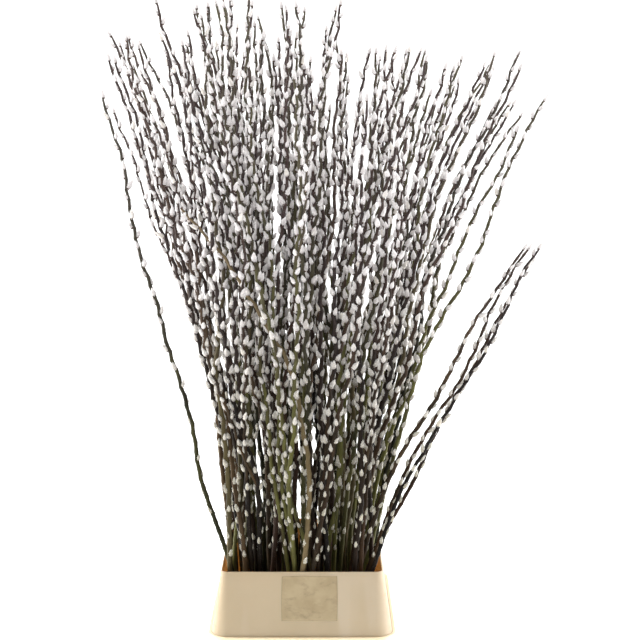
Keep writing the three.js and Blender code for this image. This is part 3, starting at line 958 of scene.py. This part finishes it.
def label_material():
    """Blank paper, stained and rubbed until it is nearly the collar's colour."""
    g = Graph("label_paper")
    cloud = g.noise(g.place(), scale=30)
    rub = g.noise(g.place(heights=1.7), scale=42, detail=4, roughness=0.62)
    fibre = g.noise(g.place(heights=3), scale=700)
    paper, paler, stain, rubbed = (rgb(*shade) for shade in LABEL_SHADES.values())
    colour = g.mix(g.range(cloud, 0.35, 0.65), paper, paler)
    colour = g.mix(g.range(rub, 0.54, 0.7, 0, STAIN_COVER), colour, stain)
    colour = g.mix(g.range(rub, 0.28, 0.4, RUBBED_COVER, 0), colour, rubbed)
    normal = g.bump(fibre, distance=0.0002, strength=0.6)
    return g.finish({"Base Color": colour, "Roughness": 0.7, "Normal": normal})


WATER_TINTS = ((206, 216, 200), (222, 228, 214))


def water_material():
    """Clear, slightly green water with a faint ripple."""
    g = Graph("water")
    ripple = g.noise(g.place(), scale=24, detail=2)
    tint = g.mix(g.range(ripple, 0.3, 0.7), *(rgb(*shade) for shade in WATER_TINTS))
    return g.finish(
        {
            "Base Color": tint,
            "Roughness": 0.05,
            "IOR": 1.33,
            "Transmission Weight": 0.85,
            "Normal": g.bump(ripple, distance=0.001, strength=0.3),
        }
    )


# Which way each corner of a ring lies, across and back.
CORNERS = ((1, 1), (-1, 1), (-1, -1), (1, -1))


def rounded_ring(size, z, inset=0.0):
    """A rounded rectangle at one height, with even points on its corners and along its sides."""
    r = max(size["corner"] - inset, 1)
    half_x = size["width"] / 2 - inset - r
    half_y = size["depth"] / 2 - inset - r

    def on_corner(quarter, angle):
        side, back = CORNERS[quarter % 4]
        return (side * half_x + r * math.cos(angle), back * half_y + r * math.sin(angle), z)

    ring = []
    for quarter in range(4):
        for step in range(CORNER_STEPS + 1):
            ring.append(on_corner(quarter, (quarter + step / CORNER_STEPS) * math.pi / 2))
        start = np.array(ring[-1])
        end = np.array(on_corner(quarter + 1, (quarter + 1) * math.pi / 2))
        ring += [tuple(start + (end - start) * step / SIDE_STEPS) for step in range(1, SIDE_STEPS)]
    return np.array(ring)


def loft(rings, looped=False):
    """Points and triangles of a closed body through rings of equally many points."""
    count = len(rings[0])
    points = np.concatenate(rings)
    if not looped:
        return points, tube_triangles(len(rings), count)
    triangles = tube_triangles(len(rings) + 1, count)[: -2 * (count - 2)]
    return points, triangles % len(points)


def arc(centre, radius, start, end, steps):
    """Points (offset, height) on an arc in a wall's section."""
    angles = np.linspace(start, end, steps)
    return [(centre[0] + radius * math.cos(a), centre[1] + radius * math.sin(a)) for a in angles]


def collar_points():
    """The collar: a sheet sleeve with a soft edge at the rim, its faces bowed a little."""
    wall = COLLAR_WALL
    edge = arc((-wall / 2, RIM_HEIGHT - wall / 2), wall / 2, 0, math.pi, RIM_RINGS)
    heights = np.linspace(COLLAR_BASE, RIM_HEIGHT - wall / 2, COLLAR_RINGS)
    outer = [(0.0, z) for z in heights[:-1]]
    inner = [(-wall, z) for z in heights[-2::-1]]
    rings = [bowed(rounded_ring(collar_at(z), z, -offset), z) for offset, z in outer + edge + inner]
    return loft(rings, looped=True)


def bow(across, breadth, z):
    """How far a broad face of the collar gives inwards, at a place across it and a height."""
    up = np.clip((z - COLLAR_BASE) / (RIM_HEIGHT - COLLAR_BASE), 0, 1)
    return COLLAR_BOW * np.sin(np.pi * up) * np.clip(1 - (across / (breadth / 2)) ** 2, 0, 1)


def bowed(ring, z):
    """Lets the broad faces of the collar give a little between its corners."""
    moved = ring.copy()
    on_front = np.abs(ring[:, 1]) > BOWED_SIDES * COLLAR_TOP["depth"]
    moved[:, 1] -= np.sign(ring[:, 1]) * bow(ring[:, 0], COLLAR_TOP["width"], z) * on_front
    moved[:, 0] -= np.sign(ring[:, 0]) * bow(ring[:, 1], COLLAR_TOP["depth"], z) * ~on_front
    return moved


def bucket_points():
    """The bucket: a tapered wall, a rolled lip that hugs the collar, a ledge and a floor."""
    gap = {"width": 2 * SEAT_GAP, "depth": 2 * SEAT_GAP, "corner": SEAT_GAP}
    mouth = {key: COLLAR_FOOT[key] + gap[key] for key in gap}
    ledge = BUCKET_HEIGHT - LIP["recess"]
    lip_foot = BUCKET_HEIGHT - LIP["height"]
    haunch = ledge - LIP["haunch"]
    over = LIP["overhang"]
    hug = {key: collar_at(BUCKET_HEIGHT)[key] + gap[key] for key in gap}
    outside = np.linspace(OUTER_WALL["from"], lip_foot, OUTER_WALL["rings"])
    lip_start = [(lip_foot + rise, -share * over) for rise, share in LIP_START]
    inside = [(haunch, 0), (INNER_WALL["middle"], 0)]
    inside += [(BUCKET_FLOOR + INNER_WALL["corner_height"], 0), (BUCKET_FLOOR, INNER_WALL["corner_inset"])]
    rings = [rounded_ring(BUCKET_FOOT, z, inset) for z, inset in FOOT_EDGE]
    rings += [rounded_ring(bucket_at(z), z) for z in outside]
    rings += [rounded_ring(bucket_at(lip_foot), z, inset) for z, inset in lip_start]
    rings += [rounded_ring(mouth, BUCKET_HEIGHT + drop, inset - over) for drop, inset in LIP_ROLL]
    rings += [rounded_ring(hug, BUCKET_HEIGHT), rounded_ring(mouth, ledge)]
    rings += [rounded_ring(mouth, ledge, COLLAR_WALL + LIP["ledge"])]
    rings += [rounded_ring(bucket_at(z), z, BUCKET_WALL + inset) for z, inset in inside]
    return loft(rings)


def label_points():
    """The label: a thin sheet with worn edges, pasted on the collar's leaning front."""
    low, high = (np.array(corner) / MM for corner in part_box("label"))
    columns, rows = LABEL_GRID
    across, up = np.meshgrid(np.linspace(0, 1, columns + 1), np.linspace(0, 1, rows + 1))
    border = (np.abs(across - 0.5) == 0.5) | (np.abs(up - 0.5) == 0.5)
    ragged = RAGGED["reach"] * np.sin(RAGGED["across"] * across + RAGGED["up"] * up) * border
    x = lerp(low[0], high[0], across) - ragged
    z = lerp(low[2], high[2], up) + RAGGED["rise"] * ragged
    wall = bow(x, COLLAR_TOP["width"], z) - collar_at(z)["depth"] / 2
    layers = (wall - LABEL_GAP - LABEL_THICKNESS, wall - LABEL_GAP)
    faces = [np.stack([x, y, z], axis=-1).reshape(-1, 3) for y in layers]
    index = np.arange(across.size).reshape(across.shape)
    corners = (index[:-1, :-1], index[:-1, 1:], index[1:, 1:], index[1:, :-1])
    a, b, c, d = (corner.ravel() for corner in corners)
    front = np.concatenate([np.stack([a, b, c], axis=1), np.stack([a, c, d], axis=1)])
    edge = np.concatenate([index[0, :-1], index[:-1, -1], index[-1, :0:-1], index[:0:-1, 0]])
    after = np.roll(edge, -1)
    behind = across.size
    near = np.stack([after, edge, edge + behind], axis=1)
    far = np.stack([after, edge + behind, after + behind], axis=1)
    return np.concatenate(faces), np.concatenate([front, front[:, ::-1] + behind, near, far])


def make_holder():
    collar = plastic_material("collar_plastic", COLLAR_FINISH)
    bucket = plastic_material("bucket_plastic", BUCKET_FINISH)
    sleeve = make_piece("collar_sleeve", *collar_points(), collar, sharp_from=SHARP_FROM)
    tub = make_piece("bucket_tub", *bucket_points(), bucket, sharp_from=SHARP_FROM)
    sheet = make_piece("label_sheet", *label_points(), label_material(), sharp_from=SHARP_FROM)
    place(sleeve, "collar_plastic", "collar")
    place(tub, "bucket_plastic", "bucket")
    place(sheet, "label_paper", "label")
    water = frame["nodes"]["water"].data.materials
    water.clear()
    water.append(water_material())


# The bark's shades from strand to strand, its young wood shade high up (partly painted glare), and the pale
# shade of its dots and of its painted glare high up.
BROWN_BARK = {
    "shades": [(15, 11, 7), (28, 20, 12), (43, 28, 18), (51, 35, 19), (31, 24, 13), (68, 53, 35)],
    "young_and_glare_shade": (50, 38, 40),
    "dot_and_glare_shade": (128, 117, 113),
}
OLIVE_BARK = {
    "shades": [(22, 22, 13), (40, 39, 21), (60, 58, 30), (84, 83, 43), (52, 46, 27), (74, 66, 42)],
    "young_and_glare_shade": (54, 48, 46),
    "dot_and_glare_shade": (128, 120, 110),
}
PALE_BARK = {
    "shades": [(92, 80, 55), (120, 104, 76), (138, 120, 92)],
    "young_and_glare_shade": (96, 80, 66),
    "dot_and_glare_shade": (168, 152, 126),
}


def make_branches():
    brown = bark_material("bark_brown", **BROWN_BARK)
    olive = bark_material("bark_olive", **OLIVE_BARK)
    pale = bark_material("bark_pale", **PALE_BARK)
    fur = fur_material()
    slot_of = {row["node"]: row["material_slot"] for row in frame["record"]["subparts"]}
    for node, strands in by_node(lay_out()).items():
        bark = olive if slot_of[node] == "bark_olive" else brown
        if node.startswith("stray_front"):
            bark = pale
        parts = []
        for strand in strands:
            points, triangles = wood(strand)
            parts.append((points, triangles, np.full(len(points), draw(strand.key, BARK_TONE))))
        points, triangles, tone = gathered(parts)
        piece = make_piece(f"{node}_bark", points, triangles, bark, {"tone": tone})
        place(piece, slot_of[node], node)
        points, triangles, *values = gathered([catkins(strand) for strand in strands])
        named = dict(zip(("fur", "rim", "along", "tone"), values))
        piece = make_piece(f"{node}_catkins", points, triangles, fur, named)
        place(piece, "catkin_fur", node)


FLOOR = {"half": 4000, "front": -5000, "back": 2600, "rise": 2200, "top": 5000}
SWEEP = {"first": 0.1, "steps": 14}
FLOOR_SHADES = ((247, 247, 247), (252, 252, 252))
FLOOR_GLOW = 0.45


def make_floor():
    """A pale floor that sweeps up behind into a backdrop."""
    back, rise = FLOOR["back"], FLOOR["rise"]
    section = [(FLOOR["front"], 0.0), (back, 0.0)]
    sweep = np.linspace(SWEEP["first"], math.pi / 2, SWEEP["steps"])
    section += [(back + rise * math.sin(angle), rise - rise * math.cos(angle)) for angle in sweep]
    section.append((back + rise, FLOOR["top"]))
    points = [(x, y, z) for y, z in section for x in (-FLOOR["half"], FLOOR["half"])]
    triangles = []
    for r in range(len(section) - 1):
        a = 2 * r
        triangles += [(a, a + 1, a + 3), (a, a + 3, a + 2)]
    g = Graph("floor_paper")
    cloud = g.noise(g.place(), scale=1.5, detail=2)
    colour = g.mix(g.range(cloud, 0.3, 0.7), *(rgb(*shade) for shade in FLOOR_SHADES))
    inputs = {"Base Color": colour, "Roughness": 0.9, "Emission Color": colour}
    inputs["Emission Strength"] = FLOOR_GLOW
    make_piece("floor_sweep", points, triangles, g.finish(inputs))


# Softboxes: each one's place, the height on the bunch that it aims at, its size and its power.
LIGHTS = [
    {"name": "key_softbox", "at": (-1.2, -3.0, 2.6), "aim": 0.7, "size": (1.6, 1.6), "power": 49},
    {"name": "left_strip", "at": (-2.4, 0.35, 0.9), "aim": 0.6, "size": (0.7, 2.2), "power": 112},
    {"name": "right_strip", "at": (2.4, 0.35, 0.9), "aim": 0.6, "size": (0.7, 2.2), "power": 96},
    {"name": "top_softbox", "at": (0, 0.5, 3.4), "aim": 0.4, "size": (2.4, 2.4), "power": 80},
]
ROOM = {"From Min": -0.8, "From Max": 0.4, "To Min": 0.3, "To Max": 1.0}


def add_light(row):
    light = bpy.data.lights.new(row["name"], "AREA")
    light.shape = "RECTANGLE"
    light.size, light.size_y = row["size"]
    light.energy = row["power"]
    lamp = bpy.data.objects.new(row["name"], light)
    bpy.context.scene.collection.objects.link(lamp)
    direction = Vector((0, 0, row["aim"])) - Vector(row["at"])
    lamp.location = row["at"]
    lamp.rotation_euler = direction.to_track_quat("-Z", "Y").to_euler()


def make_lights():
    """A bright room behind and beside the bunch, and a dimmer one in front of it."""
    world = bpy.data.worlds.new("studio_white")
    world.use_nodes = True
    tree = world.node_tree
    direction = tree.nodes.new("ShaderNodeTexCoord").outputs["Generated"]
    split = tree.nodes.new("ShaderNodeSeparateXYZ")
    strength = tree.nodes.new("ShaderNodeMapRange")
    tree.links.new(direction, split.inputs["Vector"])
    tree.links.new(split.outputs["Y"], strength.inputs["Value"])
    for key, value in ROOM.items():
        strength.inputs[key].default_value = value
    tree.links.new(strength.outputs["Result"], tree.nodes["Background"].inputs["Strength"])
    tree.nodes["Background"].inputs["Color"].default_value = (1, 1, 1, 1)
    bpy.context.scene.world = world
    for row in LIGHTS:
        add_light(row)


CAMERA_PLACE = (0.031, -2.679, 1.127)
CAMERA_DIP = 8.65
SENSOR_WIDTH = 36
FOCAL_PIXELS = 1530
IMAGE_PIXELS = 640


def make_camera():
    data = bpy.data.cameras.new("photo_view")
    data.sensor_width = SENSOR_WIDTH
    data.lens = FOCAL_PIXELS * SENSOR_WIDTH / IMAGE_PIXELS
    data.dof.use_dof = False
    camera = bpy.data.objects.new("photo_view", data)
    bpy.context.scene.collection.objects.link(camera)
    camera.location = CAMERA_PLACE
    camera.rotation_euler = (math.radians(90 - CAMERA_DIP), 0, 0)
    bpy.context.scene.camera = camera


make_camera()
make_holder()
make_branches()
make_floor()
make_lights()
bpy.context.scene.view_settings.view_transform = "Standard"
